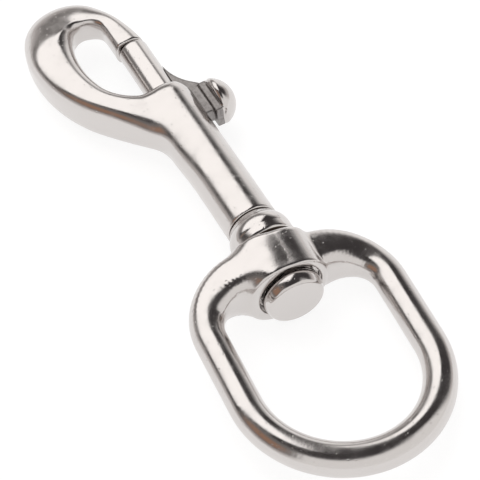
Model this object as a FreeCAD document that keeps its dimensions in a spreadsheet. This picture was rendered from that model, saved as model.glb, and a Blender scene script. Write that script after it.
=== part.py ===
import FreeCAD, Part
import math
import os
import Sketcher
from FreeCAD import Placement, Rotation, Vector

# A cast stainless bolt snap with a swivel eye, lying on its side.
# Every sub-part is drawn about the swivel axis: +Y runs from the eye towards the hook and y = 0 is the
# seam between the barrel and its end collar.  +X points at the thumb knob, +Z out of the hook's plane.
# At the end each sub-part is moved so that the whole snap lies on z = 0, centred on the origin.

SIZES = {
    # barrel and its bore
    "barrel_radius": 4.8,
    "mouth_level": 35.2,
    "mouth_rounding": 1.6,
    "bore_radius": 2.95,
    "slot_width": 3.5,
    "slot_bottom": 11.5,
    # hook: a band that leaves the barrel, rounds the crown and comes back as the tip; its outside runs
    # through neck, arm, cheek, crown, brow and nose, each arc ending at the turn given for it
    "hook_thickness": 8.8,
    "hook_rounding": 2.0,
    "neck_radius": 8.0,
    "arm_lean": 37.0,
    "arm_radius": 28.0,
    "arm_end_level": 51.8,
    "arm_x": -19.0,
    "cheek_radius": 20.0,
    "cheek_turn": 24.0,
    "crown_radius": 9.3,
    "crown_turn": 100.0,
    "brow_radius": 8.0,
    "brow_turn": 150.0,
    "nose_radius": 34.0,
    "tip_outer_x": 2.7,
    "tip_end_level": 48.6,
    # hook: its inside runs from the tip round the bight, down the wall and along the lip to the barrel
    "tip_inner_x": -3.2,
    "bight_radius": 3.0,
    "bight_level": 54.2,
    "wall_lean": 20.0,
    "wall_radius": 22.0,
    "lip_lean": 18.0,
    "lip_radius": 9.0,
    "lip_turn": 80.0,
    "tip_dish_radius": 1.8,
    "tip_dish_depth": 0.35,
    # plunger
    "plunger_radius": 2.87,
    "plunger_tail": 23.5,
    "plunger_end": 48.4,
    "plunger_chamfer": 0.55,
    "tail_chamfer": 0.3,
    # thumb stud
    "web_thickness": 3.0,
    "web_bottom": 25.9,
    "web_top": 42.0,
    "web_sweep_radius": 10.0,
    "web_foot_clearance": 0.7,
    "web_foot_rise": 2.0,
    "knob_level": 28.8,
    "knob_radius": 4.45,
    "knob_neck_radius": 2.9,
    "knob_rim_x": 7.2,
    "knob_top_x": 11.2,
    "knob_rim_depth": 0.9,
    "knob_dome_radius": 4.75,
    "base_thickness": 4.6,
    "base_depth": 1.2,
    "base_half_length": 3.9,
    "spigot_radius": 1.25,
    "spigot_depth": 2.2,
    # return spring
    "wire_radius": 0.3,
    "coil_radius": 2.3,
    "coil_pitch": 2.35,
    "coil_end_gap": 0.02,
    # end collar
    "collar_spigot_length": 3.5,
    "collar_seam_radius": 4.7,
    "collar_bulge_radius": 5.75,
    "collar_bulge_level": -4.4,
    "collar_face_radius": 5.3,
    "collar_face_level": -6.0,
    "collar_heel_radius": 2.0,
    "collar_shoulder_radius": 9.5,
    "rivet_recess_radius": 2.25,
    "rivet_recess_depth": 1.0,
    "rivet_gap": 0.3,
    # swivel stud
    "stem_radius": 1.95,
    "head_radius": 5.4,
    "head_seat_level": -14.0,
    "head_end_level": -18.0,
    "head_face_radius": 4.9,
    "head_crest_level": -16.4,
    "head_edge_radius": 2.4,
    # swivel eye
    "boss_radius": 6.8,
    "boss_top_level": -6.65,
    "boss_bottom_level": -15.2,
    "boss_rounding": 1.5,
    "recess_radius": 5.8,
    "recess_depth": 1.35,
    "eye_bore_radius": 2.03,
    "bar_level": -10.8,
    "bar_radius": 4.15,
    "bar_start_x": 4.0,
    "shoulder_mid_radius": 3.35,
    "shoulder_end_radius": 2.6,
    "wire_section_radius": 2.9,
    "eye_half_width": 16.5,
    "shoulder_radius": 9.0,
    "side_end_level": -33.7,
    # resting attitude: the stud set slightly askew in the collar, and the eye turned on the stud
    "stud_skew": 3.7,
    "skew_pivot_level": -3.0,
    "eye_lean": 6.5,
}


class Size:
    """A number together with the spreadsheet expression that gives it."""

    def __init__(self, value, text):
        self.value = value
        self.text = text

    def __add__(self, other):
        other = as_size(other)
        return Size(self.value + other.value, "(" + self.text + " + " + other.text + ")")

    def __sub__(self, other):
        other = as_size(other)
        return Size(self.value - other.value, "(" + self.text + " - " + other.text + ")")

    def __mul__(self, other):
        other = as_size(other)
        return Size(self.value * other.value, "(" + self.text + " * " + other.text + ")")

    def __truediv__(self, other):
        other = as_size(other)
        return Size(self.value / other.value, "(" + self.text + " / " + other.text + ")")

    def __neg__(self):
        return Size(-self.value, "(0 - " + self.text + ")")


def as_size(number):
    return number if isinstance(number, Size) else Size(float(number), repr(float(number)))


def cos_of(angle):
    return Size(math.cos(math.radians(angle.value)), "cos(" + angle.text + " * 1 deg)")


def sin_of(angle):
    return Size(math.sin(math.radians(angle.value)), "sin(" + angle.text + " * 1 deg)")


doc = FreeCAD.newDocument("BoltSnap")
sheet = doc.addObject("Spreadsheet::Sheet", "Sizes")
size = {}
for row, (alias, number) in enumerate(SIZES.items(), start=1):
    sheet.set("A" + str(row), alias)
    sheet.set("B" + str(row), str(number))
    sheet.setAlias("B" + str(row), alias)
    size[alias] = Size(number, "Sizes." + alias)
doc.recompute()


def origin_plane(body, role):
    for feature in body.Origin.OriginFeatures:
        if feature.Role == role:
            return feature
    raise ValueError("no plane " + role)


def new_sketch(body, name, role):
    """A sketch on one of the body's own planes."""
    sketch = body.newObject("Sketcher::SketchObject", name)
    sketch.AttachmentSupport = [(origin_plane(body, role), "")]
    sketch.MapMode = "FlatFace"
    return sketch


def pin_point(sketch, edge, end, x, y):
    """Fix one end of an edge at (x, y), both bound to the sheet."""
    for kind, number in (("DistanceX", x), ("DistanceY", y)):
        index = sketch.addConstraint(Sketcher.Constraint(kind, -1, 1, edge, end, number.value))
        sketch.setExpression("Constraints[" + str(index) + "]", number.text)


def draw_outline(sketch, steps):
    """Closed outline from steps (x, y) or (x, y, radius, side).

    Each step is the edge that arrives at (x, y): straight, or an arc of less than half a turn whose
    centre lies on the left (side 1) or on the right (side -1) of the way it runs.
    """
    corners = [(as_size(step[0]), as_size(step[1])) for step in steps]
    ends = []
    for index, step in enumerate(steps):
        start = Vector(corners[index - 1][0].value, corners[index - 1][1].value, 0)
        end = Vector(corners[index][0].value, corners[index][1].value, 0)
        if len(step) == 2:
            edge = sketch.addGeometry(Part.LineSegment(start, end), False)
            ends.append((edge, 1, 2))
        else:
            edge = add_arc(sketch, start, end, as_size(step[2]), step[3])
            ends.append((edge, 1, 2) if step[3] > 0 else (edge, 2, 1))
    for index, (edge, first, last) in enumerate(ends):
        next_edge, next_first, next_last = ends[(index + 1) % len(ends)]
        pin_point(sketch, edge, last, *corners[index])
        sketch.addConstraint(Sketcher.Constraint("Coincident", edge, last, next_edge, next_first))
    for step, (edge, first, last) in zip(steps, ends):
        if len(step) == 4:
            bind(sketch, Sketcher.Constraint("Radius", edge, as_size(step[2]).value), as_size(step[2]))


def add_arc(sketch, start, end, radius, side):
    chord = end - start
    across = Vector(-chord.y, chord.x, 0).normalize() * side
    centre = (start + end) / 2 + across * math.sqrt(radius.value ** 2 - (chord.Length / 2) ** 2)
    low, high = (start, end) if side > 0 else (end, start)
    low_angle = math.atan2(low.y - centre.y, low.x - centre.x)
    high_angle = math.atan2(high.y - centre.y, high.x - centre.x)
    circle = Part.Circle(centre, Vector(0, 0, 1), radius.value)
    return sketch.addGeometry(Part.ArcOfCircle(circle, low_angle, high_angle), False)


def bind(sketch, constraint, number):
    index = sketch.addConstraint(constraint)
    sketch.setExpression("Constraints[" + str(index) + "]", number.text)


def draw_circle(sketch, x, y, radius):
    centre = Vector(as_size(x).value, as_size(y).value, 0)
    edge = sketch.addGeometry(Part.Circle(centre, Vector(0, 0, 1), radius.value), False)
    pin_point(sketch, edge, 3, as_size(x), as_size(y))
    bind(sketch, Sketcher.Constraint("Radius", edge, radius.value), radius)


def new_body(label):
    body = doc.addObject("PartDesign::Body", label)
    body.Label = label
    return body


def changed_volume(body, before, grows):
    """Stop if a feature did not add or remove what it should."""
    doc.recompute()
    after = body.Shape.Volume
    if (after > before) != grows or abs(after - before) < 1e-6:
        raise RuntimeError(body.Label + ": the last feature changed nothing the right way")


def turned(body, name, sketch, axis, cut=False):
    """A full turn of a sketch about one of its own axes, added or cut away."""
    before = body.Shape.Volume if body.Tip else 0.0
    feature = body.newObject("PartDesign::Groove" if cut else "PartDesign::Revolution", name)
    feature.Profile = sketch
    feature.ReferenceAxis = (sketch, [axis])
    feature.Angle = 360.0
    changed_volume(body, before, not cut)
    return feature


def slab(body, name, sketch, thickness, cut=False):
    """A sketch given a thickness, half on each side of its plane, added or cut away."""
    before = body.Shape.Volume if body.Tip else 0.0
    feature = body.newObject("PartDesign::Pocket" if cut else "PartDesign::Pad", name)
    feature.Profile = sketch
    feature.setExpression("Length", thickness.text)
    feature.Midplane = True
    changed_volume(body, before, not cut)
    return feature


def swing(point, radius, first, last):
    """Far end of an arc that starts at point and turns from first to last, both measured off +Y."""
    x, y = point
    return (
        x + radius * (cos_of(first) - cos_of(last)),
        y + radius * (sin_of(last) - sin_of(first)),
    )


def hook_outline():
    """The hook band's outline, clockwise from where it leaves the barrel."""
    lean = size["arm_lean"]
    arm_end = (size["arm_x"], size["arm_end_level"])
    arm_start = swing(arm_end, size["arm_radius"], as_size(0), -lean)
    neck_x = -size["barrel_radius"] - size["neck_radius"] * (as_size(1) - cos_of(lean))
    neck_level = arm_start[1] - (neck_x - arm_start[0]) * cos_of(lean) / sin_of(lean)
    neck_end = neck_level - size["neck_radius"] * sin_of(lean)
    cheek_end = swing(arm_end, size["cheek_radius"], as_size(0), size["cheek_turn"])
    crown_end = swing(cheek_end, size["crown_radius"], size["cheek_turn"], size["crown_turn"])
    brow_end = swing(crown_end, size["brow_radius"], size["crown_turn"], size["brow_turn"])

    bight = size["bight_radius"]
    bight_x = size["tip_inner_x"] - bight
    wall_start = (
        bight_x - bight * cos_of(size["wall_lean"]),
        size["bight_level"] + bight * sin_of(size["wall_lean"]),
    )
    wall_end = swing(wall_start, size["wall_radius"], size["wall_lean"], -size["lip_lean"])
    lip_end = swing(wall_end, size["lip_radius"], -size["lip_lean"], -size["lip_turn"])
    hidden_x = as_size(-1)
    root_level = neck_end - size["barrel_radius"]
    return [
        (-size["barrel_radius"], root_level),
        (-size["barrel_radius"], neck_end),
        (neck_x, neck_level, size["neck_radius"], 1),
        arm_start,
        (*arm_end, size["arm_radius"], -1),
        (*cheek_end, size["cheek_radius"], -1),
        (*crown_end, size["crown_radius"], -1),
        (*brow_end, size["brow_radius"], -1),
        (size["tip_outer_x"], size["tip_end_level"], size["nose_radius"], -1),
        (size["tip_inner_x"], size["tip_end_level"]),
        (size["tip_inner_x"], size["bight_level"]),
        (bight_x, size["bight_level"] + bight, bight, 1),
        (*wall_start, bight, 1),
        (*wall_end, size["wall_radius"], 1),
        (*lip_end, size["lip_radius"], 1),
        (hidden_x, lip_end[1]),
        (hidden_x, root_level),
    ]


def make_hook_body():
    """One casting: the hook band, the barrel it grows from, the bore and the thumb slot."""
    body = new_body("hook_body")
    outline = new_sketch(body, "HookOutline", "XY_Plane")
    draw_outline(outline, hook_outline())
    band = slab(body, "HookBand", outline, size["hook_thickness"])

    # the band's long edges are rounded; those hidden in the barrel and across the tip's end are not
    half = SIZES["hook_thickness"] / 2
    edges = []
    for index, edge in enumerate(band.Shape.Edges, start=1):
        box = edge.BoundBox
        flat = abs(abs(box.ZMin) - half) < 1e-6 and abs(box.ZMax - box.ZMin) < 1e-6
        hidden = box.XMax > -1.5 and box.YMin < SIZES["mouth_level"] + 0.1
        across_tip = box.YMax < SIZES["tip_end_level"] + 0.1 and box.YMin > SIZES["tip_end_level"] - 0.1
        if flat and not hidden and not across_tip:
            edges.append("Edge" + str(index))
    rounding = body.newObject("PartDesign::Fillet", "HookRounding")
    rounding.Base = (band, edges)
    rounding.setExpression("Radius", size["hook_rounding"].text)
    doc.recompute()

    barrel = new_sketch(body, "BarrelProfile", "XY_Plane")
    lip = size["mouth_rounding"]
    draw_outline(barrel, [
        (0, 0),
        (size["barrel_radius"], 0),
        (size["barrel_radius"], size["mouth_level"] - lip),
        (size["barrel_radius"] - lip, size["mouth_level"], lip, 1),
        (0, size["mouth_level"]),
    ])
    turned(body, "Barrel", barrel, "V_Axis")

    bore = new_sketch(body, "BoreProfile", "XY_Plane")
    draw_outline(bore, [
        (0, -1),
        (size["bore_radius"], -1),
        (size["bore_radius"], size["mouth_level"] + 2),
        (0, size["mouth_level"] + 2),
    ])
    turned(body, "Bore", bore, "V_Axis", cut=True)

    dish = new_sketch(body, "TipDishProfile", "XY_Plane")
    draw_outline(dish, [
        (0, size["tip_end_level"] - 1),
        (size["tip_dish_radius"], size["tip_end_level"] - 1),
        (size["tip_dish_radius"], size["tip_end_level"] + size["tip_dish_depth"]),
        (0, size["tip_end_level"] + size["tip_dish_depth"]),
    ])
    turned(body, "TipDish", dish, "V_Axis", cut=True)

    slot = new_sketch(body, "SlotOutline", "XY_Plane")
    draw_outline(slot, [
        (0, size["slot_bottom"]),
        (size["barrel_radius"] + 1, size["slot_bottom"]),
        (size["barrel_radius"] + 1, size["mouth_level"] + 1),
        (0, size["mouth_level"] + 1),
    ])
    slab(body, "Slot", slot, size["slot_width"], cut=True)
    return body


def make_plunger():
    """The round bolt: chamfered ends and a cross hole for the thumb stud's spigot."""
    body = new_body("plunger")
    profile = new_sketch(body, "PlungerProfile", "XY_Plane")
    radius = size["plunger_radius"]
    draw_outline(profile, [
        (0, size["plunger_tail"]),
        (radius - size["tail_chamfer"], size["plunger_tail"]),
        (radius, size["plunger_tail"] + size["tail_chamfer"]),
        (radius, size["plunger_end"] - size["plunger_chamfer"]),
        (radius - size["plunger_chamfer"], size["plunger_end"], size["plunger_chamfer"], 1),
        (0, size["plunger_end"]),
    ])
    turned(body, "Rod", profile, "V_Axis")
    hole = knob_sketch(body, "CrossHoleProfile")
    draw_outline(hole, [
        (radius - size["spigot_depth"], 0),
        (radius + 1, 0),
        (radius + 1, size["spigot_radius"]),
        (radius - size["spigot_depth"], size["spigot_radius"]),
    ])
    turned(body, "CrossHole", hole, "H_Axis", cut=True)
    return body


def knob_sketch(body, name):
    """A sketch whose own horizontal axis is the axis of the thumb knob."""
    sketch = new_sketch(body, name, "XY_Plane")
    sketch.setExpression("AttachmentOffset.Base.y", size["knob_level"].text)
    return sketch


def make_thumb_stud():
    """Cast web with a base block and mushroom knob, saddled on the plunger."""
    body = new_body("thumb_stud")
    web = new_sketch(body, "WebOutline", "XY_Plane")
    rim_x = size["knob_rim_x"]
    foot_x = size["barrel_radius"] + size["web_foot_clearance"]
    foot_level = size["knob_level"] + size["base_half_length"] + size["web_foot_rise"]
    draw_outline(web, [
        (0, size["web_bottom"]),
        (rim_x, size["web_bottom"]),
        (rim_x, size["knob_level"] + size["base_half_length"]),
        (foot_x, foot_level),
        (size["plunger_radius"], size["web_top"], size["web_sweep_radius"], -1),
        (0, size["web_top"]),
    ])
    slab(body, "Web", web, size["web_thickness"])

    base = knob_sketch(body, "BaseOutline")
    draw_outline(base, [
        (rim_x - size["base_depth"], -size["base_half_length"]),
        (rim_x, -size["base_half_length"]),
        (rim_x, size["base_half_length"]),
        (rim_x - size["base_depth"], size["base_half_length"]),
    ])
    slab(body, "Base", base, size["base_thickness"])

    saddle = new_sketch(body, "SaddleProfile", "XY_Plane")
    draw_outline(saddle, [
        (0, size["web_bottom"] - 1),
        (size["plunger_radius"], size["web_bottom"] - 1),
        (size["plunger_radius"], size["web_top"] + 1),
        (0, size["web_top"] + 1),
    ])
    turned(body, "Saddle", saddle, "V_Axis", cut=True)

    knob = knob_sketch(body, "KnobProfile")
    rim_top = rim_x + size["knob_rim_depth"]
    draw_outline(knob, [
        (size["plunger_radius"] - size["spigot_depth"], 0),
        (size["knob_top_x"], 0),
        (rim_top, size["knob_radius"], size["knob_dome_radius"], 1),
        (rim_x, size["knob_radius"] - size["knob_rim_depth"]),
        (rim_x, size["knob_neck_radius"]),
        (rim_x - size["base_depth"], size["spigot_radius"]),
        (size["plunger_radius"] - size["spigot_depth"], size["spigot_radius"]),
    ])
    turned(body, "Knob", knob, "H_Axis")
    return body


def make_return_spring():
    """Open compression spring between the collar's spigot and the plunger's tail."""
    body = new_body("return_spring")
    section = new_sketch(body, "WireSection", "XY_Plane")
    first = size["collar_spigot_length"] + size["coil_end_gap"] + size["wire_radius"]
    last = size["plunger_tail"] - size["coil_end_gap"] - size["wire_radius"]
    draw_circle(section, size["coil_radius"], first, size["wire_radius"])
    coil = body.newObject("PartDesign::AdditiveHelix", "Coil")
    coil.Profile = section
    coil.ReferenceAxis = (section, ["V_Axis"])
    coil.Mode = 0
    coil.setExpression("Pitch", size["coil_pitch"].text)
    coil.setExpression("Height", (last - first).text)
    doc.recompute()
    return body


def make_end_collar():
    """Bulged cap whose spigot closes the barrel's bore, drilled along the stud and recessed for its rivet."""
    body = new_body("end_collar")
    profile = new_sketch(body, "CollarProfile", "XY_Plane")
    spigot = size["collar_spigot_length"]
    draw_outline(profile, [
        (0, size["collar_face_level"]),
        (size["collar_face_radius"], size["collar_face_level"]),
        (size["collar_bulge_radius"], size["collar_bulge_level"], size["collar_heel_radius"], 1),
        (size["collar_seam_radius"], 0, size["collar_shoulder_radius"], 1),
        (size["bore_radius"], 0),
        (size["bore_radius"], spigot),
        (0, spigot),
    ])
    turned(body, "Collar", profile, "V_Axis")

    drilled = new_sketch(body, "StemHoleProfile", "XY_Plane")
    drilled.AttachmentOffset = skew_placement()
    draw_outline(drilled, [
        (0, size["collar_face_level"] - 1),
        (size["stem_radius"], size["collar_face_level"] - 1),
        (size["stem_radius"], spigot - size["rivet_recess_depth"]),
        (size["rivet_recess_radius"], spigot - size["rivet_recess_depth"]),
        (size["rivet_recess_radius"], spigot + 1),
        (0, spigot + 1),
    ])
    turned(body, "StemHole", drilled, "V_Axis", cut=True)
    return body


def make_swivel_stud():
    """Headed stem: the head carries the eye and the far end is riveted over inside the collar."""
    body = new_body("swivel_stud")
    profile = new_sketch(body, "StudProfile", "XY_Plane")
    spigot = size["collar_spigot_length"]
    rivet_end = spigot - size["rivet_gap"]
    draw_outline(profile, [
        (0, size["head_end_level"]),
        (size["head_face_radius"], size["head_end_level"]),
        (size["head_radius"], size["head_crest_level"], size["head_edge_radius"], 1),
        (size["head_radius"], size["head_seat_level"]),
        (size["stem_radius"], size["head_seat_level"]),
        (size["stem_radius"], spigot - size["rivet_recess_depth"]),
        (size["rivet_recess_radius"], spigot - size["rivet_recess_depth"]),
        (size["rivet_recess_radius"], rivet_end),
        (0, rivet_end),
    ])
    turned(body, "Stud", profile, "V_Axis")
    return body


def section_sketch(body, name, side, turn, radius):
    """A round section across one shoulder; turn runs from 0 at the boss to 90 on the straight side."""
    sketch = new_sketch(body, name, "YZ_Plane")
    if turn == 0:
        along = size["bar_start_x"]
        level = size["bar_level"]
    else:
        corner = size["shoulder_radius"]
        along = size["eye_half_width"] - corner + corner * sin_of(as_size(turn))
        level = size["bar_level"] - corner + corner * cos_of(as_size(turn))
    sketch.AttachmentOffset = Placement(Vector(0, 0, 0), Rotation(Vector(0, 1, 0), -side * turn))
    sketch.setExpression("AttachmentOffset.Base.x", level.text)
    sketch.setExpression("AttachmentOffset.Base.z", (along * side).text)
    draw_circle(sketch, 0, 0, radius)
    return sketch


def draw_path(sketch, route):
    """Open path of lines and arcs, in the steps that draw_outline takes."""
    corners = [(as_size(step[0]), as_size(step[1])) for step in route]
    previous = None
    for index in range(1, len(route)):
        start = Vector(corners[index - 1][0].value, corners[index - 1][1].value, 0)
        end = Vector(corners[index][0].value, corners[index][1].value, 0)
        step = route[index]
        if len(step) == 2:
            edge = sketch.addGeometry(Part.LineSegment(start, end), False)
            first, last = 1, 2
        else:
            edge = add_arc(sketch, start, end, as_size(step[2]), step[3])
            first, last = (1, 2) if step[3] > 0 else (2, 1)
            bind(sketch, Sketcher.Constraint("Radius", edge, as_size(step[2]).value), as_size(step[2]))
        if previous is None:
            pin_point(sketch, edge, first, *corners[0])
        else:
            sketch.addConstraint(Sketcher.Constraint("Coincident", previous[0], previous[1], edge, first))
        pin_point(sketch, edge, last, *corners[index])
        previous = (edge, last)


def make_swivel_eye():
    """Round-wire D, thickened bars that run into the bored boss, and the recess for the stud's head."""
    body = new_body("swivel_eye")
    width = size["eye_half_width"]
    corner = size["shoulder_radius"]
    bar = size["bar_level"]
    side_end = size["side_end_level"]
    path = new_sketch(body, "EyePath", "XY_Plane")
    start_x = size["bar_start_x"]
    route = [
        (start_x, bar),
        (width - corner, bar),
        (width, bar - corner, corner, -1),
        (width, side_end),
        (0, side_end - width, width, -1),
        (-width, side_end, width, -1),
        (-width, bar - corner),
        (corner - width, bar, corner, -1),
        (-start_x, bar),
    ]
    draw_path(path, route)
    wire = new_sketch(body, "WireSection", "YZ_Plane")
    wire.setExpression("AttachmentOffset.Base.z", start_x.text)
    draw_circle(wire, bar, 0, size["wire_section_radius"])
    loop = body.newObject("PartDesign::AdditivePipe", "Loop")
    loop.Profile = wire
    loop.Spine = path
    doc.recompute()

    for side, label in ((1, "Right"), (-1, "Left")):
        root = section_sketch(body, label + "BarSection", side, 0, size["bar_radius"])
        middle = section_sketch(body, label + "MiddleSection", side, 45, size["shoulder_mid_radius"])
        foot = section_sketch(body, label + "SideSection", side, 90, size["shoulder_end_radius"])
        before = body.Shape.Volume
        bar_loft = body.newObject("PartDesign::AdditiveLoft", label + "Bar")
        bar_loft.Profile = root
        bar_loft.Sections = [middle, foot]
        changed_volume(body, before, True)

    boss = new_sketch(body, "BossProfile", "XY_Plane")
    rounding = size["boss_rounding"]
    draw_outline(boss, [
        (0, size["boss_bottom_level"]),
        (size["boss_radius"], size["boss_bottom_level"]),
        (size["boss_radius"], size["boss_top_level"] - rounding),
        (size["boss_radius"] - rounding, size["boss_top_level"], rounding, 1),
        (0, size["boss_top_level"]),
    ])
    turned(body, "Boss", boss, "V_Axis")

    bore = new_sketch(body, "EyeBoreProfile", "XY_Plane")
    floor = size["boss_bottom_level"] + size["recess_depth"]
    draw_outline(bore, [
        (0, size["boss_bottom_level"] - 1),
        (size["recess_radius"], size["boss_bottom_level"] - 1),
        (size["recess_radius"], floor),
        (size["eye_bore_radius"], floor),
        (size["eye_bore_radius"], size["boss_top_level"] + 1),
        (0, size["boss_top_level"] + 1),
    ])
    turned(body, "EyeBore", bore, "V_Axis", cut=True)
    return body


def skew_placement():
    """The stud's small tilt out of the barrel's line, about a point inside the collar."""
    pivot = Vector(0, SIZES["skew_pivot_level"], 0)
    turn = Rotation(Vector(0, 0, 1), -SIZES["stud_skew"])
    return Placement(pivot - turn.multVec(pivot), turn)


def eye_attitude():
    """The eye's turn about the stud, and then the stud's own tilt."""
    lean = Placement(Vector(0, 0, 0), Rotation(Vector(0, 1, 0), SIZES["eye_lean"]))
    return skew_placement() * lean


def resting_place():
    """Move from the swivel axis's frame to the snap's own: centred in plan, lowest point at zero."""
    wire = SIZES["wire_section_radius"]
    width = SIZES["eye_half_width"]
    corner = SIZES["shoulder_radius"]
    attitude = eye_attitude()
    bottom_centre = attitude.multVec(Vector(0, SIZES["side_end_level"], 0))
    shoulder_centre = attitude.multVec(Vector(width - corner, SIZES["bar_level"] - corner, 0))
    # a circle of the eye, leaned and skewed, reaches this much of its radius across and along the snap
    flatten = math.cos(math.radians(SIZES["eye_lean"]))
    skew = math.radians(SIZES["stud_skew"])
    across = math.hypot(flatten * math.cos(skew), math.sin(skew))
    along = math.hypot(math.cos(skew), flatten * math.sin(skew))
    left = bottom_centre.x - width * across - wire
    right = shoulder_centre.x + corner * across + wire
    cheek = math.sin(math.radians(SIZES["cheek_turn"]))
    top = SIZES["arm_end_level"] + SIZES["cheek_radius"] * cheek + SIZES["crown_radius"] * (1 - cheek)
    bottom = bottom_centre.y - width * along - wire
    return Placement(Vector(-(left + right) / 2, -(top + bottom) / 2, SIZES["boss_radius"]), Rotation())


parts = [
    make_hook_body(),
    make_plunger(),
    make_thumb_stud(),
    make_return_spring(),
    make_end_collar(),
]
rest = resting_place()
for part in parts:
    part.Placement = rest
stud = make_swivel_stud()
stud.Placement = rest * skew_placement()
eye = make_swivel_eye()
eye.Placement = rest * eye_attitude()
parts += [stud, eye]

doc.recompute()
for item in doc.Objects:
    if "Invalid" in item.State or "Error" in item.State:
        raise RuntimeError(item.Label + ": " + ", ".join(item.State))
for part in parts:
    if part.Shape.isNull() or not part.Shape.isValid():
        raise RuntimeError(part.Label + ": the shape is missing or not valid")

os.makedirs("parts", exist_ok=True)
for part in parts:
    part.Shape.exportStep("parts/" + part.Label + ".step")
    box = part.Shape.BoundBox
    print(part.Label, "volume", round(part.Shape.Volume, 1), "solids", len(part.Shape.Solids),
          "x", round(box.XMin, 2), round(box.XMax, 2), "y", round(box.YMin, 2), round(box.YMax, 2),
          "z", round(box.ZMin, 2), round(box.ZMax, 2))
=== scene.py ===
import math

import bpy
import numpy as np
from mathutils import Matrix, Vector


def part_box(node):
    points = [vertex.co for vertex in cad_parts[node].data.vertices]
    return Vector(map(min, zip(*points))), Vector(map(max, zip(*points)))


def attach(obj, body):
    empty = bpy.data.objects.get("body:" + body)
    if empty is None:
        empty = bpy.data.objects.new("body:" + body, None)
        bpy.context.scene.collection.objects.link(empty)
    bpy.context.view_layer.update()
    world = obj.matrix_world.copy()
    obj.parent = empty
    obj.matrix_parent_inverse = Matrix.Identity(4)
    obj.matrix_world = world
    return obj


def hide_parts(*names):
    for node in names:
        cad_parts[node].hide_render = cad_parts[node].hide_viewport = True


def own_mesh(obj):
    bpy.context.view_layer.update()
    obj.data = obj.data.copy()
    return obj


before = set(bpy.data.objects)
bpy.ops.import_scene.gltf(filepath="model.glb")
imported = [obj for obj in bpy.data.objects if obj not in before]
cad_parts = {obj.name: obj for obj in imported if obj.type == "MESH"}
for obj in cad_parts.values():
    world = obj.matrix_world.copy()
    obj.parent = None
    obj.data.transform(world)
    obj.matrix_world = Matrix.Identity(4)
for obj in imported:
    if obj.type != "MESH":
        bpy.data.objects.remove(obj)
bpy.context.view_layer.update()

MM = 0.001
TINY = 1e-9

# Sizes are in millimetres about the barrel's axis, and angles in degrees: +Y runs from the eye to the
# hook, y = 0 is the seam between barrel and collar, +X points at the thumb knob and +Z out of the
# hook's plane. A level is a place along Y. An edge, a crease or a fillet is the width over which two
# surfaces are rounded into each other.
BARREL_RADIUS = 4.8
MOUTH_LEVEL = 35.2
BORE_RADIUS = 2.95
SLOT_WIDTH = 3.5
SLOT_BOTTOM = 11.5
HOOK_HALF_THICKNESS = 4.4
TIP_END_LEVEL = 48.6
PLUNGER_END_LEVEL = 48.4
COLLAR_SPIGOT_LENGTH = 3.5
STUD_SKEW = 3.7
SKEW_PIVOT_LEVEL = -3.0
EYE_LEAN = 6.5

# The frame gives where the barrel's axis lies: through the middle of the collar, whose spigot ends a
# known length past the seam.
collar_low, collar_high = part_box("end_collar")
AXIS_X = (collar_low[0] + collar_high[0]) / 2
AXIS_Z = (collar_low[2] + collar_high[2]) / 2
SEAM_Y = collar_high[1] - COLLAR_SPIGOT_LENGTH * MM
TO_FRAME = Matrix.Translation((AXIS_X, SEAM_Y, AXIS_Z)) @ Matrix.Scale(MM, 4)
SKEW_PIVOT = Vector((0.0, SKEW_PIVOT_LEVEL, 0.0))
STUD_TO_FRAME = (
    TO_FRAME
    @ Matrix.Translation(SKEW_PIVOT)
    @ Matrix.Rotation(math.radians(-STUD_SKEW), 4, "Z")
    @ Matrix.Translation(-SKEW_PIVOT)
)
EYE_TO_FRAME = STUD_TO_FRAME @ Matrix.Rotation(math.radians(EYE_LEAN), 4, "Y")


# ---------------------------------------------------------------- implicit solids
# Each casting is a function of points that is negative inside it, roughly a distance in millimetres.

def smooth_min(a, b, width):
    """Union of two solids with a fillet about as wide as width."""
    blend = np.clip(0.5 + 0.5 * (b - a) / width, 0.0, 1.0)
    return b + (a - b) * blend - width * blend * (1.0 - blend)


def smooth_max(a, b, width):
    """Intersection of two solids with an edge rounded about as much as width."""
    return -smooth_min(-a, -b, width)


def smooth_step(low, high, value):
    t = np.clip((value - low) / (high - low), 0.0, 1.0)
    return t * t * (3.0 - 2.0 * t)


def arc_points(centre, radius, start, end, count):
    """Points along an arc, from start to end in degrees."""
    angles = np.radians(np.linspace(start, end, count))
    return np.stack([centre[0] + radius * np.cos(angles), centre[1] + radius * np.sin(angles)], axis=1)


def nearest_on_path(points, path, closed):
    """Distance to a polyline in its plane, with the index along it and the side the point is on."""
    starts = path
    ends = np.roll(path, -1, axis=0)
    if not closed:
        starts, ends = starts[:-1], ends[:-1]
    along = ends - starts
    lengths_squared = np.maximum((along ** 2).sum(axis=1), TINY)
    best = np.full(len(points), np.inf)
    where = np.zeros(len(points))
    side = np.zeros(len(points))
    for index in range(len(starts)):
        offset = points - starts[index]
        t = np.clip(offset @ along[index] / lengths_squared[index], 0.0, 1.0)
        gap = offset - t[:, None] * along[index]
        squared = (gap ** 2).sum(axis=1)
        closer = squared < best
        best = np.where(closer, squared, best)
        where = np.where(closer, index + t, where)
        cross = along[index][0] * offset[:, 1] - along[index][1] * offset[:, 0]
        side = np.where(closer, np.sign(cross), side)
    return np.sqrt(best), where, side


def inside_outline(points, outline):
    """Signed distance to a closed outline in its plane, negative inside."""
    distance = nearest_on_path(points, outline, closed=True)[0]
    x, y = points[:, 0], points[:, 1]
    inside = np.zeros(len(points), dtype=bool)
    for (x0, y0), (x1, y1) in zip(outline, np.roll(outline, -1, axis=0)):
        if y0 == y1:
            continue
        crosses = (y0 > y) != (y1 > y)
        inside ^= crosses & (x < (x1 - x0) * (y - y0) / (y1 - y0) + x0)
    return np.where(inside, -distance, distance)


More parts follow.
